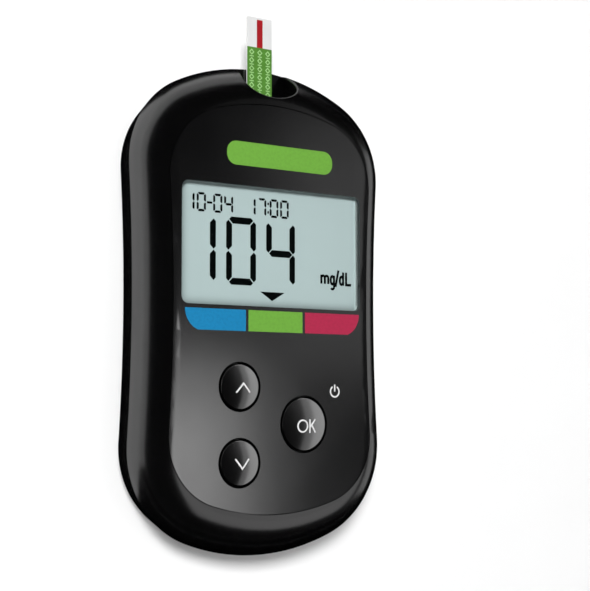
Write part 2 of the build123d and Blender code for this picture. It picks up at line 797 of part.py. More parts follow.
for name, (x, y, hole_radius) in buttons.items():
    upright = Plane((x, y, 0), x_dir=(1, 0, 0), z_dir=(0, -1, 0))
    axis = Axis((x, y, 0), (0, 0, 1))
    cap_radius = hole_radius - cap_gap
    cap_top = face_height + cap_rise
    cap_shoulder = cap_top - cap_crown
    flange_top = ceiling - flange_gap
    stem_low = board_top + dome_height + stem_gap

    with BuildPart() as button:
        with BuildSketch(upright):
            with BuildLine():
                Polyline(
                    (0, cap_top),
                    (0, stem_low),
                    (stem_radius, stem_low),
                    (stem_radius, flange_top - flange_thickness),
                    (hole_radius + flange_overlap, flange_top - flange_thickness),
                    (hole_radius + flange_overlap, flange_top),
                    (cap_radius, flange_top),
                    (cap_radius, cap_shoulder),
                )
                TangentArc((0, cap_top), (cap_radius, cap_shoulder), tangent=(1, 0))
            make_face()
        revolve(axis=axis)
        cap_rim = button.faces().sort_by(Axis.Z)[-1].edges().sort_by(SortBy.LENGTH)[-1]
        fillet(cap_rim, cap_edge_radius)
    button.part.label = f"{name}_button"
    export_step(button.part, f"parts/{name}_button.step")

    # snap dome on the board under the stem
    with BuildPart() as dome:
        with BuildSketch(upright):
            with BuildLine():
                dome_top = board_top + dome_height
                inner_radius = dome_radius - dome_thickness
                TangentArc((0, dome_top), (dome_radius, board_top), tangent=(1, 0))
                Line((dome_radius, board_top), (inner_radius, board_top))
                TangentArc((0, dome_top - dome_thickness), (inner_radius, board_top), tangent=(1, 0))
                Line((0, dome_top - dome_thickness), (0, dome_top))
            make_face()
        revolve(axis=axis)
    dome.part.label = f"{name}_dome"
    export_step(dome.part, f"parts/{name}_dome.step")


# ---------------------------------------------------------------- strip connector and its contacts

contact_places = [side * contact_pitch for side in (-1, 0, 1)]
connector_length_inside = strip_inserted + slot_side_clearance

with BuildPart() as strip_connector:
    with Locations((0, connector_back_y, board_top)):
        Box(connector_width, connector_length, connector_top - board_top, align=from_low)
    with Locations((0, connector_front_y - connector_length_inside, strip_bottom - slot_height_clearance)):
        Box(
            strip_width + 2 * slot_side_clearance,
            connector_length_inside,
            strip_top - strip_bottom + 2 * slot_height_clearance,
            align=from_low,
            mode=Mode.SUBTRACT,
        )
    # grooves that the contacts lie in, open to the top and the back
    with Locations(*[(x, connector_back_y, strip_top) for x in contact_places]):
        Box(
            contact_width + 2 * contact_slot_clearance,
            contact_groove_length,
            connector_top - strip_top,
            align=from_low,
            mode=Mode.SUBTRACT,
        )
strip_connector.part.label = "strip_connector"
export_step(strip_connector.part, "parts/strip_connector.step")

with BuildPart() as strip_contacts:
    leaf = contact_thickness / 2
    leg_y = connector_back_y - contact_slot_clearance - leaf
    touch_z = strip_film_z + electrode_thickness + contact_touch_gap + contact_thickness
    roof_z = connector_top - contact_roof_drop
    for x in contact_places:
        with BuildSketch(Plane.YZ.offset(x)):
            with BuildLine():
                leaf_line = Polyline(
                    (leg_y - contact_tail, board_top + leaf),
                    (leg_y, board_top + leaf),
                    (leg_y, roof_z),
                    (leg_y + contact_roof_length, roof_z),
                    (leg_y + contact_touch_reach, touch_z),
                    (leg_y + contact_touch_reach + contact_tip, touch_z + contact_tip / 2),
                )
            trace(leaf_line, contact_thickness)
        extrude(amount=contact_width / 2, both=True)
strip_contacts.part.label = "strip_contacts"
export_step(strip_contacts.part, "parts/strip_contacts.step")


# ---------------------------------------------------------------- coin cell and its contacts

with BuildPart() as coin_cell:
    with Locations((0, cell_y, cell_bottom)):
        Cylinder(cell_radius, cell_thickness - cell_step, align=on_base)
    with Locations((0, cell_y, cell_top - cell_step)):
        Cylinder(cell_radius - cell_rim, cell_step, align=on_base)
    can_edges = coin_cell.edges().filter_by(GeomType.CIRCLE).sort_by(SortBy.RADIUS)[-2:]
    fillet(can_edges, cell_edge_radius)
coin_cell.part.label = "coin_cell"
export_step(coin_cell.part, "parts/coin_cell.step")

with BuildPart() as battery_contact_minus:
    with Locations((0, minus_contact_y, cell_top)):
        plate_length = minus_contact_reach + minus_contact_tip
        Box(minus_contact_width, plate_length, contact_plate, align=from_low)
        Box(contact_leg_width, contact_plate, board_bottom - cell_top, align=from_low)
battery_contact_minus.part.label = "battery_contact_minus"
export_step(battery_contact_minus.part, "parts/battery_contact_minus.step")

with BuildPart() as battery_contact_plus:
    with Locations((0, plus_contact_y, bay_ceiling)):
        below = (Align.CENTER, Align.MIN, Align.MAX)
        Box(plus_contact_width, contact_plate, plus_contact_height, align=below)
        Box(contact_leg_width, contact_plate, board_bottom - bay_ceiling, align=from_low)
battery_contact_plus.part.label = "battery_contact_plus"
export_step(battery_contact_plus.part, "parts/battery_contact_plus.step")


# ---------------------------------------------------------------- screws

screw_tip = board_top + screw_bite
screws = {
    "board_screws": (board_screw_places, board_bottom),
    "case_screws": (case_screw_places, bay_ceiling),
}
for name, (places, seat) in screws.items():
    with BuildPart() as fasteners:
        with Locations(*at_height(places, seat)):
            Cylinder(screw_radius, screw_tip - seat, align=on_base)
            head_below = (Align.CENTER, Align.CENTER, Align.MAX)
            Cylinder(screw_head_radius, screw_head_height, align=head_below)
        # cross recess in each head
        with Locations(*at_height(places, seat - screw_head_height)):
            for recess in ((recess_length, recess_width), (recess_width, recess_length)):
                Box(*recess, recess_depth, align=on_base, mode=Mode.SUBTRACT)
    fasteners.part.label = name
    export_step(fasteners.part, f"parts/{name}.step")


# ---------------------------------------------------------------- test strip

strip_end_y = connector_front_y - strip_inserted
strip_tip_y = top_y + strip_tip_reach
cover_end_y = strip_tip_y - strip_tip_length
channel_length = strip_tip_length - channel_end_wall

with BuildPart() as test_strip_base:
    with Locations((0, strip_end_y, strip_bottom)):
        Box(strip_width, strip_tip_y - strip_end_y, strip_base_thickness, align=from_low)
test_strip_base.part.label = "test_strip_base"
export_step(test_strip_base.part, "parts/test_strip_base.step")

with BuildPart() as test_strip_cover:
    with Locations((0, strip_end_y + strip_bare_end, strip_film_z)):
        cover_length = cover_end_y - strip_end_y - strip_bare_end
        Box(strip_width, cover_length, strip_film_thickness, align=from_low)
test_strip_cover.part.label = "test_strip_cover"
export_step(test_strip_cover.part, "parts/test_strip_cover.step")

with BuildPart() as test_strip_tip:
    with Locations((0, cover_end_y, strip_film_z)):
        Box(strip_width, strip_tip_length, strip_film_thickness, align=from_low)
        Box(channel_width, channel_length, strip_film_thickness, align=from_low, mode=Mode.SUBTRACT)
test_strip_tip.part.label = "test_strip_tip"
export_step(test_strip_tip.part, "parts/test_strip_tip.step")

with BuildPart() as test_strip_channel:
    with Locations((0, cover_end_y, strip_film_z)):
        Box(channel_width, channel_length, strip_film_thickness - channel_sink, align=from_low)
test_strip_channel.part.label = "test_strip_channel"
export_step(test_strip_channel.part, "parts/test_strip_channel.step")

with BuildPart() as test_strip_electrodes:
    with Locations(*[(x, strip_end_y, strip_film_z) for x in contact_places]):
        Box(electrode_width, strip_bare_end, electrode_thickness, align=from_low)
test_strip_electrodes.part.label = "test_strip_electrodes"
export_step(test_strip_electrodes.part, "parts/test_strip_electrodes.step")
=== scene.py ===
import math

import bpy
from mathutils import Matrix, Vector
from mathutils.bvhtree import BVHTree


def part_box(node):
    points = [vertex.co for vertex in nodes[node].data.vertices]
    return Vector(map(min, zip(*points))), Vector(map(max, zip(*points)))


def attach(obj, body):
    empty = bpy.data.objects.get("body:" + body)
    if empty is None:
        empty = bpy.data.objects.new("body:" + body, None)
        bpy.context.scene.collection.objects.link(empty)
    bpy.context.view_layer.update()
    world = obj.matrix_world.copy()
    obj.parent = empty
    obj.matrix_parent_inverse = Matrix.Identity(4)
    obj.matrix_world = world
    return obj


# Looks of the blood glucose meter and its test strip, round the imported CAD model.
# Sizes and places below are millimetres in the frame of the CAD model: +Z out of the display, +Y
# towards the strip port, X = 0 the plane of symmetry. Blender's unit is the metre, so they go
# through MM.

MM = 0.001

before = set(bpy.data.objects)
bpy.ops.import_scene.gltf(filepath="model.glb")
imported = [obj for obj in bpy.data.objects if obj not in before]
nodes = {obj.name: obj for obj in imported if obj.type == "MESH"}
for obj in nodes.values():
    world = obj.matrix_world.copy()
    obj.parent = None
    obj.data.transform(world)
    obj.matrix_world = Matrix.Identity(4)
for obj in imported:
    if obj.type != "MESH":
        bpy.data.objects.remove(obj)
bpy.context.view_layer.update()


def top_of(node):
    """Height of a CAD node's highest point, in millimetres."""
    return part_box(node)[1].z / MM


FACE = top_of("fascia_panel")
DISPLAY = top_of("front_polariser")
STRIP_FACE = top_of("test_strip_cover")


# ---------------------------------------------------------------- materials


class Look:
    """A Principled material, with helpers for the nodes that vary it over the surface."""

    def __init__(self, name, **sockets):
        self.material = bpy.data.materials.new(name)
        self.material.use_nodes = True
        self.tree = self.material.node_tree
        self.shader = self.tree.nodes["Principled BSDF"]
        for socket, value in sockets.items():
            self.shader.inputs[socket.replace("_", " ")].default_value = value
        self.place = self.node("ShaderNodeTexCoord").outputs["Object"]

    def node(self, kind, inputs=None, **settings):
        """A new shader node, with its sockets given and its settings made."""
        made = self.tree.nodes.new(kind)
        for setting, value in settings.items():
            setattr(made, setting, value)
        for socket, value in (inputs or {}).items():
            self.give(made.inputs[socket], value)
        return made

    def give(self, socket, value):
        """Links a socket to another one, or sets it to a plain value."""
        if isinstance(value, bpy.types.NodeSocket):
            self.tree.links.new(value, socket)
        else:
            socket.default_value = value

    def noise(self, size, detail=2.0, stretch=(1, 1, 1)):
        """Soft noise whose features are about size millimetres across, from 0 to 1."""
        scale = [1 / (size * MM * s) for s in stretch]
        mapping = self.node("ShaderNodeMapping", {"Vector": self.place, "Scale": scale})
        inputs = {"Vector": mapping.outputs["Vector"], "Scale": 1.0, "Detail": detail}
        return self.node("ShaderNodeTexNoise", inputs).outputs["Fac"]

    def between(self, factor, low, high, start=0.3, end=0.7):
        """Values from low to high as factor goes from start to end."""
        inputs = {"Value": factor, "From Min": start, "From Max": end}
        inputs |= {"To Min": low, "To Max": high}
        return self.node("ShaderNodeMapRange", inputs).outputs["Result"]

    def colour(self, factor, first, second, start=0.3, end=0.7):
        """Colours the surface from first to second as factor goes from start to end."""
        ramp = self.node("ShaderNodeValToRGB", {"Fac": factor})
        for stop, place, value in zip(ramp.color_ramp.elements, (start, end), (first, second)):
            stop.position = place
            stop.color = (*value, 1)
        self.give(self.shader.inputs["Base Color"], ramp.outputs["Color"])
        return ramp.outputs["Color"]

    def roughness(self, factor, low, high):
        """Roughness from low to high, as factor varies."""
        self.give(self.shader.inputs["Roughness"], self.between(factor, low, high))

    def bump(self, height, depth, strength=1.0):
        """Relief of the given depth in millimetres."""
        inputs = {"Height": height, "Distance": depth * MM, "Strength": strength}
        made = self.node("ShaderNodeBump", inputs)
        self.give(self.shader.inputs["Normal"], made.outputs["Normal"])

    def mixed(self, share, first, second):
        """Ends the material in a mix of two shaders, with this share of the second."""
        mix = self.node("ShaderNodeMixShader", {0: share, 1: first, 2: second})
        output = self.tree.nodes["Material Output"]
        self.give(output.inputs["Surface"], mix.outputs["Shader"])

    def calculate(self, operation, first, second):
        """Result of one operation on two values."""
        made = self.node("ShaderNodeMath", {0: first, 1: second}, operation=operation)
        return made.outputs["Value"]


def moulded(name, dark, light, roughness, grain=0.25, relief=0.002, **sockets):
    """Moulded plastic: a fine grain, slightly uneven gloss and faint changes of tone."""
    look = Look(name, **sockets)
    look.colour(look.noise(6.0, detail=3.0), dark, light)
    look.roughness(look.noise(9.0, detail=4.0), *roughness)
    look.bump(look.noise(grain, detail=1.0), relief)
    return look.material


def metal(name, dark, light, roughness, grain=(1, 1, 1)):
    """Metal with the fine marks of rolling or drawing."""
    look = Look(name, Metallic=1.0)
    marks = look.noise(0.3, detail=3.0, stretch=grain)
    look.colour(marks, dark, light)
    look.roughness(marks, *roughness)
    look.bump(marks, 0.002)
    return look.material


def ink(name, colour, shade=0.86):
    """Screen-printed ink: a faint unevenness of the film under a low sheen."""
    look = Look(name, Specular_IOR_Level=0.4)
    film = look.noise(0.5, detail=3.0)
    look.colour(film, [shade * c for c in colour], colour, 0.25, 0.6)
    look.roughness(film, 0.42, 0.5)
    look.bump(film, 0.002)
    return look.material


def board_mask(name):
    """Solder mask over copper: paler tracks under the green."""
    tracks = (700, 420, 1)  # to the metre, along each axis
    look = Look(name, Specular_IOR_Level=0.5, Coat_Weight=0.3)
    mapping = look.node("ShaderNodeMapping", {"Vector": look.place, "Scale": tracks})
    cells = look.node(
        "ShaderNodeTexVoronoi",
        {"Vector": mapping.outputs["Vector"], "Scale": 1.0, "Randomness": 0.6},
        distance="MANHATTAN",
        feature="F2",
    )
    look.colour(cells.outputs["Distance"], (0.004, 0.05, 0.02), (0.012, 0.16, 0.06), 0.55, 0.7)
    look.roughness(look.noise(1.5), 0.3, 0.42)
    look.bump(cells.outputs["Distance"], 0.01, 0.3)
    return look.material


def striped_rubber(name):
    """Zebra strip: fine black layers in pale rubber, across its length."""
    look = Look(name, Roughness=0.7)
    inputs = {"Vector": look.place, "Scale": 1600.0}
    wave = look.node("ShaderNodeTexWave", inputs, bands_direction="X")
    look.colour(wave.outputs["Fac"], (0.02, 0.02, 0.02), (0.55, 0.32, 0.34), 0.4, 0.6)
    look.bump(wave.outputs["Fac"], 0.01)
    return look.material


def display_film(name, left, foot, reach=2.2, depth=0.55, curve=2.5):
    """Face of the liquid crystal display: pale green grey, with the fine grain of its reflector.

    Its left and lower edges are darkened by painted shade, standing in for their frame's shade: it
    takes this depth from the colour and fades out over reach, faster where curve is higher.
    """
    look = Look(name, Specular_IOR_Level=0.3)
    grain = look.noise(0.12, detail=2.0)
    shaded = look.colour(grain, (0.428, 0.512, 0.517), (0.451, 0.540, 0.549))
    axes = look.node("ShaderNodeSeparateXYZ", {"Vector": look.place}).outputs
    # Painted shade: the colour is darkened near the left and lower edges of the window
    for axis, edge in (("X", left), ("Y", foot)):
        near = look.between(axes[axis], 1, 0, edge * MM, (edge + reach) * MM)
        light = look.between(look.calculate("POWER", near, curve), 1, 1 - depth, 0, 1)
        dimmed = look.node("ShaderNodeVectorMath", {0: shaded, "Scale": light}, operation="SCALE")
        shaded = dimmed.outputs["Vector"]
    look.give(look.shader.inputs["Base Color"], shaded)
    look.roughness(look.noise(1.0), 0.45, 0.55)
    look.bump(grain, 0.001)
    return look.material


def see_through(name, tint, share, roughness):
    """A clear pane: what is behind it shows, under this share of a real pane's reflection."""
    look = Look(name)
    smudge = look.between(look.noise(8.0), roughness, roughness * 1.6)
    clear = look.node("ShaderNodeBsdfTransparent", {"Color": (*tint, 1)})
    shine = look.node("ShaderNodeBsdfGlossy", {"Roughness": smudge})
    fresnel = look.node("ShaderNodeFresnel", {"IOR": 1.45})
    amount = look.calculate("MULTIPLY", fresnel.outputs["Fac"], share)
    look.mixed(amount, clear.outputs["BSDF"], shine.outputs["BSDF"])
    look.tree.nodes.remove(look.shader)
    return look.material


def black(name, dark, light, roughness, shine):
    """Black plastic, which is seen by what it reflects: shine is the strength of that."""
    return moulded(name, dark, light, roughness, Specular_IOR_Level=shine)


shell_black = black("shell_black", (0.0008, 0.0008, 0.0009), (0.0012, 0.0012, 0.0013), (0.20, 0.23), 1.0)
fascia_black = black("fascia_black", (0.0016, 0.0016, 0.0018), (0.0022, 0.0022, 0.0024), (0.17, 0.20), 0.9)
key_black = black("key_black", (0.0010, 0.0010, 0.0011), (0.0015, 0.0015, 0.0016), (0.17, 0.19), 0.8)
lcd_black = black("lcd_black", (0.0010, 0.0016, 0.0016), (0.0016, 0.0024, 0.0024), (0.6, 0.7), 0.1)
ink_blue = ink("ink_blue", (0.0085, 0.207, 0.432))
ink_green = ink("ink_green", (0.152, 0.38, 0.049))
ink_red = ink("ink_red", (0.415, 0.024, 0.070))
ink_white = ink("ink_white", (0.78, 0.78, 0.78))

# Left and lower edges of what the photograph shows of the display's face in its window, where its painted
# shade begins
PAINTED_SHADE_LEFT, PAINTED_SHADE_FOOT = -18.1, 0.25

finishes = {
    shell_black: ["front_shell", "rear_shell", "battery_door"],
    fascia_black: ["fascia_panel"],
    key_black: ["up_button", "down_button", "ok_button"],
    # display
    see_through("lens_clear", (0.975, 0.985, 0.98), 0.12, 0.06): ["display_lens"],
    display_film("display_face_painted_shade", PAINTED_SHADE_LEFT, PAINTED_SHADE_FOOT): ["front_polariser"],
    see_through("lcd_glass", (0.90, 0.96, 0.94), 1.0, 0.03): ["lcd_front_glass", "lcd_rear_glass"],
    moulded("polariser_film", (0.30, 0.33, 0.32), (0.36, 0.39, 0.38), (0.2, 0.3)): ["rear_polariser"],
    moulded("gasket_foam", (0.52, 0.60, 0.60), (0.56, 0.65, 0.65), (0.85, 0.95), 0.2, 0.01): [
        "display_gasket"
    ],
    moulded("frame_white", (0.74, 0.74, 0.71), (0.80, 0.80, 0.78), (0.4, 0.5)): ["lcd_frame"],
    striped_rubber("elastomer"): ["zebra_connector"],
    # circuit board
    board_mask("board_mask"): ["circuit_board"],
    moulded("chip_epoxy", (0.010, 0.010, 0.011), (0.022, 0.022, 0.024), (0.5, 0.62), 0.08, 0.006): [
        "microcontroller",
        "memory_chip",
        "strip_interface_chip",
    ],
    metal("crystal_can", (0.56, 0.56, 0.58), (0.70, 0.70, 0.72), (0.2, 0.34), (1, 8, 1)): [
        "clock_crystal"
    ],
    moulded("passive_ceramic", (0.36, 0.25, 0.14), (0.48, 0.35, 0.22), (0.4, 0.55), 0.1, 0.006): [
        "passive_components"
    ],
    metal("dome_steel", (0.52, 0.52, 0.53), (0.66, 0.66, 0.67), (0.22, 0.32)): [
        "up_dome",
        "down_dome",
        "ok_dome",
    ],
    moulded("connector_nylon", (0.62, 0.60, 0.54), (0.70, 0.68, 0.62), (0.45, 0.55)): [
        "strip_connector"
    ],
    metal("contact_gold", (0.80, 0.52, 0.18), (0.90, 0.64, 0.28), (0.2, 0.3)): ["strip_contacts"],
    metal("socket_steel", (0.50, 0.50, 0.51), (0.66, 0.66, 0.67), (0.25, 0.38), (8, 1, 1)): [
        "data_socket_shell"
    ],
    moulded("socket_nylon", (0.012, 0.012, 0.012), (0.02, 0.02, 0.02), (0.4, 0.5)): [
        "data_socket_tongue"
    ],
    # battery and screws
    metal("cell_steel", (0.56, 0.56, 0.56), (0.72, 0.72, 0.71), (0.2, 0.32), (10, 1, 1)): [
        "coin_cell"
    ],
    metal("cell_contact_nickel", (0.58, 0.55, 0.49), (0.72, 0.69, 0.62), (0.25, 0.36), (1, 6, 1)): [
        "battery_contact_plus",
        "battery_contact_minus",
    ],
    metal("screw_steel", (0.30, 0.30, 0.31), (0.46, 0.46, 0.47), (0.28, 0.4)): [
        "board_screws",
        "case_screws",
    ],
    # test strip
    moulded("strip_base_white", (0.70, 0.70, 0.69), (0.74, 0.74, 0.73), (0.35, 0.42)): [
        "test_strip_base"
    ],
    ink("strip_cover_green", (0.082, 0.235, 0.030)): ["test_strip_cover"],
    moulded("strip_tip_white", (0.67, 0.67, 0.67), (0.72, 0.72, 0.72), (0.3, 0.36)): [
        "test_strip_tip"
    ],
    ink("strip_reagent_red", (0.36, 0.010, 0.016)): ["test_strip_channel"],
    metal("strip_silver", (0.45, 0.45, 0.46), (0.6, 0.6, 0.61), (0.35, 0.45)): [
        "test_strip_electrodes"
    ],
}
for finish, names in finishes.items():
    for name in names:
        slots = nodes[name].data.materials
        slots.clear()
        slots.append(finish)


# ---------------------------------------------------------------- flat shapes and strokes


def arc(centre, radius, start, end, steps=14):
    """Points along an arc or, with two radii, along part of an ellipse. Angles in degrees."""
    wide, tall = radius if isinstance(radius, tuple) else (radius, radius)
    angles = [math.radians(start + (end - start) * i / steps) for i in range(steps + 1)]
    return [(centre[0] + wide * math.cos(a), centre[1] + tall * math.sin(a)) for a in angles]


def rectangle(left, low, right, high, corner=0.0):
    """Outline of a rectangle, anticlockwise from the lower left, with corners of this radius."""
    centres = (
        (left + corner, low + corner),
        (right - corner, low + corner),
        (right - corner, high - corner),
        (left + corner, high - corner),
    )
    if not corner:
        return list(centres)
    points = []
    for centre, start in zip(centres, (180, 270, 0, 90)):
        points += arc(centre, corner, start, start + 90, 10)
    return points


def seven_segments(right, low, width, height, stroke, gap, lit):
    """Outlines of the lit segments of one digit, named a to g from the top round to the middle."""
    tip = 0.38 * stroke  # how far a segment's point lies in from the outer edge
    rest, half = stroke - tip, stroke / 2
    left, high, middle = right - width, low + height, low + height / 2
    begin, end = left + tip + gap, right - tip - gap

    def upright(outer, inward, foot, top):
        """Segment up one side: outer is its outer edge and inward points to the digit's middle."""
        return [
            (outer, foot + tip),
            (outer + inward * tip, foot),
            (outer + inward * stroke, foot + rest),
            (outer + inward * stroke, top - rest),
            (outer + inward * tip, top),
            (outer, top - tip),
        ]

    def level(outer, inward):
        """Segment along the top or the bottom."""
        return [
            (begin + tip, outer),
            (begin, outer + inward * tip),
            (begin + rest, outer + inward * stroke),
            (end - rest, outer + inward * stroke),
            (end, outer + inward * tip),
            (end - tip, outer),
        ]

    shapes = {
        "a": level(high, -1),
        "b": upright(right, -1, middle + gap / 2, high - tip - gap),
        "c": upright(right, -1, low + tip + gap, middle - gap / 2),
        "d": level(low, 1),
        "e": upright(left, 1, low + tip + gap, middle - gap / 2),
        "f": upright(left, 1, middle + gap / 2, high - tip - gap),
        "g": [
            (begin, middle),
            (begin + half, middle - half),
            (end - half, middle - half),
            (end, middle),
            (end - half, middle + half),
            (begin + half, middle + half),
        ],
    }
    return [shapes[name] for name in lit]


DIGITS = {"0": "abcdef", "1": "bc", "4": "bcfg", "7": "abc"}


def spaced(points, step):
    """The same line with more points, none further apart than step."""
    out = [points[0]]
    for (x0, y0), (x1, y1) in zip(points, points[1:]):
        count = max(1, math.ceil(math.hypot(x1 - x0, y1 - y0) / step))
        for i in range(1, count + 1):
            out.append((x0 + (x1 - x0) * i / count, y0 + (y1 - y0) * i / count))
    return out


def stroke_sheet(lines, width):
    """Points and faces of strokes drawn along lines. A line that ends where it starts is a ring."""
    points, faces = [], []
    for line in lines:
        ring = math.dist(line[0], line[-1]) < 1e-6
        path = [Vector(p) for p in (line[:-1] if ring else line)]
        count, first = len(path), len(points)
        for i, here in enumerate(path):
            before = path[i - 1] if ring or i else here
            after = path[(i + 1) % count] if ring or i < count - 1 else here
            into = (here - before).normalized() if here != before else (after - here).normalized()
            out_of = (after - here).normalized() if after != here else into
            along = (into + out_of).normalized()
            side = Vector((-along.y, along.x)) * width / 2 / max(0.4, along.dot(into))
            points += [tuple(here + side), tuple(here - side)]
        for i in range(count if ring else count - 1):
            a, b = first + 2 * i, first + 2 * ((i + 1) % count)
            faces.append((a, a + 1, b + 1, b))
    return points, faces


def outline_sheet(shapes):
    """Points and faces of filled outlines, one face each."""
    points, faces = [], []
    for shape in shapes:
        faces.append(tuple(range(len(points), len(points) + len(shape))))
        points += shape
    return points, faces


def surface_of(node):
    """Function that gives the height of a CAD node's top under a point, in millimetres."""
    mesh = nodes[node].data
    mesh.calc_loop_triangles()
    triangles = [tuple(t.vertices) for t in mesh.loop_triangles]
    tree = BVHTree.FromPolygons([v.co for v in mesh.vertices], triangles)

    def height(x, y):
        well_above = Vector((x * MM, y * MM, 1.0))
        return tree.ray_cast(well_above, Vector((0, 0, -1)))[0].z / MM

    return height


def level_at(z):
    """Function that gives the same height everywhere."""
    return lambda x, y: z


def thin_piece(name, sheet, height, body, slot, material, thickness=0.03, sunk=0.01):
    """A closed thin solid that rides on a body: the sheet's outline, laid on a surface.

    height gives the surface. The top lies thickness above it and the underside is sunk into it.
    """
    points, faces = sheet
    count = len(points)
    vertices = [(x, y, height(x, y) + thickness) for x, y in points]
    vertices += [(x, y, height(x, y) - sunk) for x, y in points]
    edges = {}  # a dict keeps them in order
    solid = []
    for face in faces:
        turn = sum(
            points[a][0] * points[b][1] - points[b][0] * points[a][1]
            for a, b in zip(face, face[1:] + face[:1])
        )
        face = face if turn > 0 else face[::-1]
        solid += [face, tuple(i + count for i in reversed(face))]
        for a, b in zip(face, face[1:] + face[:1]):
            edges[(a, b)] = True
    solid += [(b, a, a + count, b + count) for a, b in edges if (b, a) not in edges]
    mesh = bpy.data.meshes.new(name)
    mesh.from_pydata([Vector(v) * MM for v in vertices], [], solid)
    mesh.materials.append(material)
    mesh.update()
    piece = bpy.data.objects.new(name, mesh)
    bpy.context.scene.collection.objects.link(piece)
    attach(piece, body)
    return piece


# ---------------------------------------------------------------- prints on the fascia

on_face = level_at(FACE)


def printed(name, shapes, material):
    """Ink on the fascia."""
    return thin_piece(name, outline_sheet(shapes), on_face, "case", "fascia_black", material)


# Three bars under the display, with the outer ends of the blue and the red one rounded off below
BAR_LOW, BAR_TOP = -4.19, -0.52
BLUE_LEFT, BLUE_RIGHT = -18.24, -6.02
GREEN_LEFT, GREEN_RIGHT = -5.48, 5.96
RED_LEFT, RED_RIGHT = 6.51, 18.60
BAR_CURVE = 3.9
bar_sweep = math.degrees(math.asin((BAR_TOP - BAR_LOW) / BAR_CURVE))
blue_end = arc((BLUE_LEFT + BAR_CURVE, BAR_TOP), BAR_CURVE, 180, 180 + bar_sweep)
red_end = arc((RED_RIGHT - BAR_CURVE, BAR_TOP), BAR_CURVE, -bar_sweep, 0)
printed("bar_blue", [[*blue_end, (BLUE_RIGHT, BAR_LOW), (BLUE_RIGHT, BAR_TOP)]], ink_blue)
printed("bar_green", [rectangle(GREEN_LEFT, BAR_LOW, GREEN_RIGHT, BAR_TOP)], ink_green)
printed("bar_red", [[(RED_LEFT, BAR_LOW), *red_end, (RED_LEFT, BAR_TOP)]], ink_red)

# Plain label above the display
LABEL_LEFT, LABEL_RIGHT = -9.96, 12.62
LABEL_LOW, LABEL_HIGH, LABEL_CORNER = 24.49, 28.66, 1.9
label = rectangle(LABEL_LEFT, LABEL_LOW, LABEL_RIGHT, LABEL_HIGH, LABEL_CORNER)
printed("label_green", [label], ink_green)

# Power symbol: a ring open at the top, with a bar down to its middle
POWER_X, POWER_Y = 13.07, -14.43
POWER_RADIUS, POWER_TOP, POWER_WIDTH = 0.95, -13.18, 0.28
power_ring = arc((POWER_X, POWER_Y), POWER_RADIUS, 120, 420, 28)
power_bar = [(POWER_X, POWER_TOP), (POWER_X, POWER_Y)]
power_sheet = stroke_sheet([power_ring, power_bar], POWER_WIDTH)
thin_piece("power_mark", power_sheet, on_face, "case", "fascia_black", ink_white)


# ---------------------------------------------------------------- marks on the buttons

MARK_STEP = 0.25  # close enough for a stroke to follow the domed cap
MARK_WIDTH = 0.27
MARK_THICKNESS = 0.06  # enough to stand clear of the cap's facets

OK_LOW, OK_HIGH = -21.52, -19.48  # middle of the strokes of the letter O
O_MIDDLE, O_RADIUS = 5.46, 1.00
letter_o = arc((O_MIDDLE, (OK_LOW + OK_HIGH) / 2), (O_RADIUS, (OK_HIGH - OK_LOW) / 2), 0, 360, 40)
K_STEM, K_ARM = 7.00, 8.18
k_join = OK_LOW + 0.42 * (OK_HIGH - OK_LOW)
letter_k = [  # stem, arm and leg, which end about level with the outside of the O
    [(K_STEM, OK_LOW - 0.17), (K_STEM, OK_HIGH + 0.17)],
    [(K_STEM, k_join - 0.10), (K_ARM, OK_HIGH + 0.12)],
    [(K_STEM + 0.38, k_join + 0.32), (K_ARM + 0.05, OK_LOW - 0.12)],
]
marks = {
    "up": [[(-8.42, -14.72), (-7.0, -13.12), (-5.62, -14.68)]],
    "down": [[(-8.57, -25.95), (-7.20, -27.62), (-5.84, -25.96)]],
    "ok": [letter_o, *letter_k],
}
for key, lines in marks.items():
    sheet = stroke_sheet([spaced(line, MARK_STEP) for line in lines], MARK_WIDTH)
    cap, body = surface_of(f"{key}_button"), f"{key}_key"
    thin_piece(f"{key}_mark", sheet, cap, body, "key_black", ink_white, MARK_THICKNESS)


# ---------------------------------------------------------------- display

on_display = level_at(DISPLAY)
SEGMENT_THICKNESS, SEGMENT_SUNK = 0.015, 0.005


def shown(name, sheet):
    """Dark liquid crystal, drawn as a film on the display's face."""
    body, slot = "case", "polariser_film"
    depth = (SEGMENT_THICKNESS, SEGMENT_SUNK)
    return thin_piece(name, sheet, on_display, body, slot, lcd_black, *depth)


def number(text, right_edges, low, width, height, stroke, gap):
    """Outlines of a number, with the right edge of each digit."""
    shapes = []
    for digit, right in zip(text, right_edges):
        shapes += seven_segments(right, low, width, height, stroke, gap, DIGITS[digit])
    return shapes


READING = dict(low=3.87, width=6.19, height=11.79, stroke=1.19, gap=0.14)
reading = number("104", (-11.10, -2.80, 5.57), **READING)
shown("display_reading", outline_sheet(reading))

# Date and time, with the dash of the one and the colon of the other
CLOCK = dict(low=16.09, width=1.86, height=3.30, stroke=0.42, gap=0.09)
DASH_LEFT, DASH_RIGHT, DASH_HALF = -12.93, -11.85, 0.19
COLON_LEFT, COLON_RIGHT, COLON_HALF = -0.38, -0.06, 0.22
COLON_SPREAD = 0.75  # from the digits' middle to the middle of a dot
clock_middle = CLOCK["low"] + CLOCK["height"] / 2
clock = number("1004", (-15.40, -13.12, -9.80, -7.58), **CLOCK)
clock += number("1700", (-2.88, -0.63, 1.96, 4.21), **CLOCK)
clock.append(rectangle(DASH_LEFT, clock_middle - DASH_HALF, DASH_RIGHT, clock_middle + DASH_HALF))
for dot_y in (clock_middle - COLON_SPREAD, clock_middle + COLON_SPREAD):
    clock.append(rectangle(COLON_LEFT, dot_y - COLON_HALF, COLON_RIGHT, dot_y + COLON_HALF))
shown("display_clock", outline_sheet(clock))

shown("display_pointer", outline_sheet([[(-1.90, 2.92), (0.62, 1.36), (3.34, 2.92)]]))

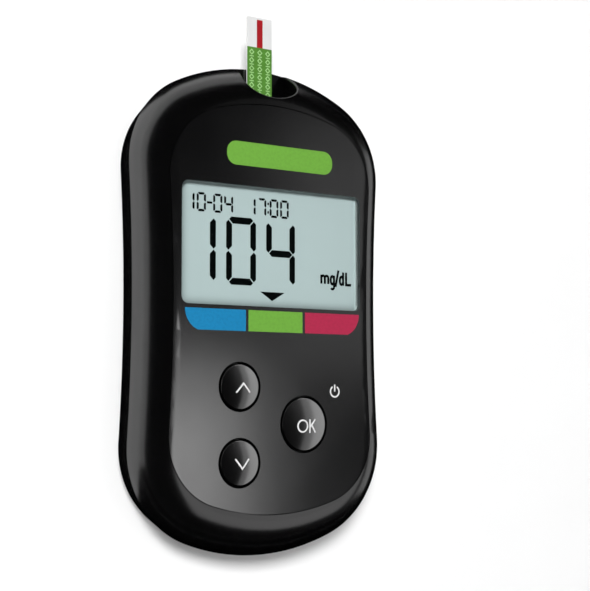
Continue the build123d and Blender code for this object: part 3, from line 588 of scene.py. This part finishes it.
# Unit of measurement, in thin upright letters
UNIT_BASE, UNIT_X_HEIGHT, UNIT_CAP = 4.98, 1.45, 2.12
UNIT_STROKE = 0.46
UNIT_OVER = 0.15  # how far a stem goes on past the letter's height
ARCH_WIDTH, ARCH_FOOT = 0.78, 0.6  # an arch of the m leaves its stem at this height
BOWL_WIDTH = 0.76
SLASH_LEAN, SLASH_OVER = 0.66, 0.45
L_WIDTH = 1.16
M_LEFT, G_LEFT, SLASH_LEFT, D_LEFT, L_LEFT = 11.42, 13.52, 14.62, 15.60, 17.04


def unit(x, *points):
    """Points of a stroke of the unit, given from the letter's left end on the base line."""
    return [(x + across, UNIT_BASE + up) for across, up in points]


def arch(x):
    """One arch of the letter m, down to its foot."""
    radius = ARCH_WIDTH / 2
    top = arc((x + radius, UNIT_BASE + UNIT_X_HEIGHT - radius), radius, 180, 0, 8)
    return [(x, UNIT_BASE + ARCH_FOOT), *top, (x + ARCH_WIDTH, UNIT_BASE)]


def bowl(x):
    """The round part of the letters g and d."""
    middle = (x + BOWL_WIDTH / 2, UNIT_BASE + UNIT_X_HEIGHT / 2)
    return arc(middle, (BOWL_WIDTH / 2, UNIT_X_HEIGHT / 2), 0, 360, 24)


g_stem, d_stem = G_LEFT + BOWL_WIDTH, D_LEFT + BOWL_WIDTH
TAIL_DROP, TAIL_WIDE, TAIL_TALL = 0.5, 0.36, 0.40
tail_middle = (g_stem - TAIL_WIDE, UNIT_BASE - TAIL_DROP)
g_tail = arc(tail_middle, (TAIL_WIDE, TAIL_TALL), 0, -150, 8)
unit_lines = [
    unit(M_LEFT, (0, 0), (0, UNIT_X_HEIGHT + UNIT_OVER)),
    arch(M_LEFT),
    arch(M_LEFT + ARCH_WIDTH),
    bowl(G_LEFT),
    unit(g_stem, (0, UNIT_X_HEIGHT + UNIT_OVER), (0, -TAIL_DROP)) + g_tail[1:],
    unit(SLASH_LEFT, (0, -SLASH_OVER), (SLASH_LEAN, UNIT_CAP + SLASH_OVER)),
    bowl(D_LEFT),
    unit(d_stem, (0, -UNIT_OVER), (0, UNIT_CAP + UNIT_OVER)),
    unit(L_LEFT, (0, UNIT_CAP + UNIT_OVER), (0, 0), (L_WIDTH, 0)),
]
shown("display_unit", stroke_sheet(unit_lines, UNIT_STROKE))


# ---------------------------------------------------------------- print on the test strip

# Rows of open diamonds with a short dash between them, in columns down the cover film
PATTERN_STEP = 1.50
PATTERN_COLUMNS = 3
PATTERN_INSET = 0.90  # from the cover's upper end to the first row
PATTERN_REACH = 0.44
PATTERN_WIDTH = 0.18
PATTERN_THICKNESS, PATTERN_SUNK = 0.01, 0.005
strip_low, strip_high = (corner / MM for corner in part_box("test_strip_cover"))
column_pitch = (strip_high.x - strip_low.x) / PATTERN_COLUMNS
pattern = []
y = strip_high.y - PATTERN_INSET
while y - PATTERN_STEP > strip_low.y:
    for column in range(PATTERN_COLUMNS):
        x = strip_low.x + column_pitch * (column + 0.5)
        left, right = x - PATTERN_REACH, x + PATTERN_REACH
        low, high = y - PATTERN_REACH, y + PATTERN_REACH
        pattern.append([(x, low), (right, y), (x, high), (left, y), (x, low)])
        dash_y = y - PATTERN_STEP / 2
        pattern.append([(left, dash_y), (right, dash_y)])
    y -= PATTERN_STEP
thin_piece(
    "strip_pattern",
    stroke_sheet(pattern, PATTERN_WIDTH),
    level_at(STRIP_FACE),
    "strip",
    "strip_cover_green",
    ink("strip_pale", (0.37, 0.64, 0.26)),
    PATTERN_THICKNESS,
    PATTERN_SUNK,
)


# ---------------------------------------------------------------- floor, light and camera

FLOOR_RADIUS, FLOOR_SIDES = 1100, 64
FLOOR_Z = -0.1  # just clear of the meter's flat back
WALL_HEIGHT = 420
WALL_CURVE, CURVE_STEPS = 250, 9  # radius of the bend from the floor up to the wall
PAPER_GLOW = 0.10  # share of plain white in what the camera and reflections see of the paper


def staged(name, vertices, faces, material):
    """An object of the studio, not of the meter."""
    mesh = bpy.data.meshes.new(name)
    mesh.from_pydata([Vector(v) * MM for v in vertices], [], faces)
    mesh.update()
    mesh.materials.append(material)
    made = bpy.data.objects.new(name, mesh)
    bpy.context.scene.collection.objects.link(made)
    return made


def paper():
    """White paper that keeps shadows. The camera and reflections see it a little brighter."""
    look = Look("paper", Roughness=0.9, Specular_IOR_Level=0.0)
    look.colour(look.noise(30.0), (0.925, 0.925, 0.925), (0.935, 0.935, 0.935))
    path = look.node("ShaderNodeLightPath").outputs
    seen = path["Is Camera Ray"]
    for ray in ("Is Glossy Ray", "Is Transmission Ray"):
        seen = look.calculate("MAXIMUM", seen, path[ray])
    white = look.node("ShaderNodeEmission", {"Color": (1, 1, 1, 1), "Strength": 1.0})
    share = look.calculate("MULTIPLY", seen, PAPER_GLOW)
    look.mixed(share, look.shader.outputs["BSDF"], white.outputs["Emission"])
    return look.material


def on_circle(radius, turn, z):
    """The point at a height z over a circle round the origin, turn radians from the X axis."""
    return (radius * math.cos(turn), radius * math.sin(turn), z)


profile = []  # radius and height of each ring of the floor, from its flat middle outwards
for step in range(CURVE_STEPS + 1):
    turn = math.radians(90 * step / CURVE_STEPS)
    out, up = WALL_CURVE * math.sin(turn), WALL_CURVE * (1 - math.cos(turn))
    profile.append((FLOOR_RADIUS - WALL_CURVE + out, up))
profile.append((FLOOR_RADIUS, WALL_HEIGHT))
floor_vertices, floor_faces = [], [tuple(range(FLOOR_SIDES))]
for radius, z in profile:
    for i in range(FLOOR_SIDES):
        floor_vertices.append(on_circle(radius, math.tau * i / FLOOR_SIDES, z))
for ring in range(len(profile) - 1):
    for i in range(FLOOR_SIDES):
        here, beside = ring * FLOOR_SIDES + i, ring * FLOOR_SIDES + (i + 1) % FLOOR_SIDES
        floor_faces.append((here, beside, beside + FLOOR_SIDES, here + FLOOR_SIDES))
floor = staged("floor", floor_vertices, floor_faces, paper())
floor.location.z = FLOOR_Z * MM

# Black flags keep the white floor and its wall out of the reflections below and to the right of the
# meter: a sheet on the floor, which goes out well past that side, and a screen that stands round
# it. Only reflections see them, so they are a painted dark reflection, painted shade in the gloss where
# the camera sees white floor.
painted_reflection_black = Look("painted_reflection_black", Roughness=1.0, Specular_IOR_Level=0.0)
painted_reflection_black.colour(painted_reflection_black.noise(40.0), (0.0008, 0.0008, 0.0008), (0.0012, 0.0012, 0.0012))
FLAG_LEFT, FLAG_TOP, FLAG_Z = -29, 76, 0.02
SCREEN_RADIUS, SCREEN_HEIGHT, SCREEN_STEPS = 900, 340, 24
SCREEN_FROM, SCREEN_TO = -162, 50  # degrees from the X axis
sheet = [(FLAG_LEFT, FLAG_TOP), (FLAG_LEFT, -40), (-900, -320), (-900, -900)]
sheet += [(900, -900), (560, 720), (14, FLAG_TOP)]
flag_vertices = [(x, y, FLAG_Z) for x, y in sheet]
flag_faces = [tuple(range(len(sheet)))]
for i in range(SCREEN_STEPS + 1):
    turn = math.radians(SCREEN_FROM + (SCREEN_TO - SCREEN_FROM) * i / SCREEN_STEPS)
    flag_vertices += [on_circle(SCREEN_RADIUS, turn, z) for z in (0, SCREEN_HEIGHT)]
    if i:
        last = len(flag_vertices)
        flag_faces.append((last - 4, last - 3, last - 1, last - 2))
flag = staged("flags", flag_vertices, flag_faces, painted_reflection_black.material)
flag.visible_camera = False
flag.visible_diffuse = False
flag.visible_shadow = False
flag.visible_transmission = False


def lamp_box(name, place, aim, size, radiance, gloss):
    """A rectangular lamp at place that faces the point aim.

    The first size is across, in the plane of X and Z, and the second nearly along Y. With gloss
    the lamp only makes highlights, and otherwise it only lights the surfaces.
    """
    lamp = bpy.data.lights.new(name, "AREA")
    lamp.shape = "RECTANGLE"
    lamp.size, lamp.size_y = (side * MM for side in size)
    lamp.energy = radiance * math.pi * lamp.size * lamp.size_y
    box = bpy.data.objects.new(name, lamp)
    bpy.context.scene.collection.objects.link(box)
    box.location = Vector(place) * MM
    out = (Vector(place) - Vector(aim)).normalized()
    across = Vector((0, 1, 0)).cross(out).normalized()
    box.rotation_euler = Matrix((across, out.cross(across), out)).transposed().to_euler()
    box.visible_camera = False
    box.visible_diffuse = not gloss
    box.visible_glossy = gloss
    return box


def lights_only(box, names):
    """Keeps a lamp's light to these CAD nodes."""
    receivers = bpy.data.collections.new(box.name)
    for name in names:
        receivers.objects.link(nodes[name])
    box.light_linking.receiver_collection = receivers


WORLD_STRENGTH = 0.010
KEYS = ["up_button", "down_button", "ok_button"]
BODY = ["front_shell", "fascia_panel", "rear_shell"]

lamp_box("key_light", (-540, 225, 860), (0, 0, 0), (190, 190), 101.0, False)
lamp_box("fill_light", (0, 0, 1100), (0, 0, 0), (1400, 1400), 0.62, False)

# Bright panes that the gloss reflects: name, place, point it faces, size, radiance, and the nodes
# that show it
highlights = [
    ("glow_low", (96, -47, 250), (96, -47, 0), (108, 66), 3.4, ["fascia_panel"]),
    ("glow_high", (96, -42, 250), (96, -42, 0), (108, 84), 2.4, ["fascia_panel"]),
    ("glow_foot", (185, -110, 250), (185, -110, 0), (290, 160), 0.95, ["front_shell"]),
    ("glow_corner", (220, 46, 250), (220, 46, 0), (110, 100), 0.6, BODY),
    ("side_glow", (300, 0, 84), (0, 0, 15), (136, 260), 0.9, BODY),
    ("key_wide", (330, 0, 250), (0, 0, 16), (300, 1000), 1.2, KEYS),
    ("key_edge", (430, 0, 250), (0, 0, 16), (220, 1000), 1.6, KEYS),
    ("key_middle", (330, 250, 250), (0, 250, 16), (300, 700), 6.0, KEYS),
    ("key_top", (330, 300, 250), (0, 300, 16), (300, 600), 11.0, KEYS),
]
for name, place, faced, size, radiance, shown_by in highlights:
    lights_only(lamp_box(name, place, faced, size, radiance, True), shown_by)

world = bpy.data.worlds.new("studio")
world.use_nodes = True
background = world.node_tree.nodes["Background"]
background.inputs["Color"].default_value = (1, 1, 1, 1)
background.inputs["Strength"].default_value = WORLD_STRENGTH
bpy.context.scene.world = world

# The camera looks from the left and a little from the bottom end, turned by these angles, in
# radians, from straight above the display. Its place is measured from the meter's origin along
# its own turned axes.
CAMERA_YAW = -0.6219
CAMERA_PITCH = 0.0769
CAMERA_ROLL = -0.0009
CAMERA_PLACE = Vector((12.5122, 3.1781, 260.7888))
CAMERA_FOCUS = 1425.08  # focal length in pixels of a picture PICTURE_SIDE high
PICTURE_SIDE = 591
SENSOR = 36.0

camera = bpy.data.cameras.new("camera")
camera.sensor_width = SENSOR
camera.lens = CAMERA_FOCUS / PICTURE_SIDE * SENSOR
camera.clip_start = 0.01
viewer = bpy.data.objects.new("camera", camera)
bpy.context.scene.collection.objects.link(viewer)
turned = (
    Matrix.Rotation(CAMERA_YAW, 3, "Y")
    @ Matrix.Rotation(CAMERA_PITCH, 3, "X")
    @ Matrix.Rotation(CAMERA_ROLL, 3, "Z")
)
viewer.matrix_world = Matrix.Translation(turned @ CAMERA_PLACE * MM) @ turned.to_4x4()
bpy.context.scene.camera = viewer
bpy.context.scene.view_settings.view_transform = "Standard"
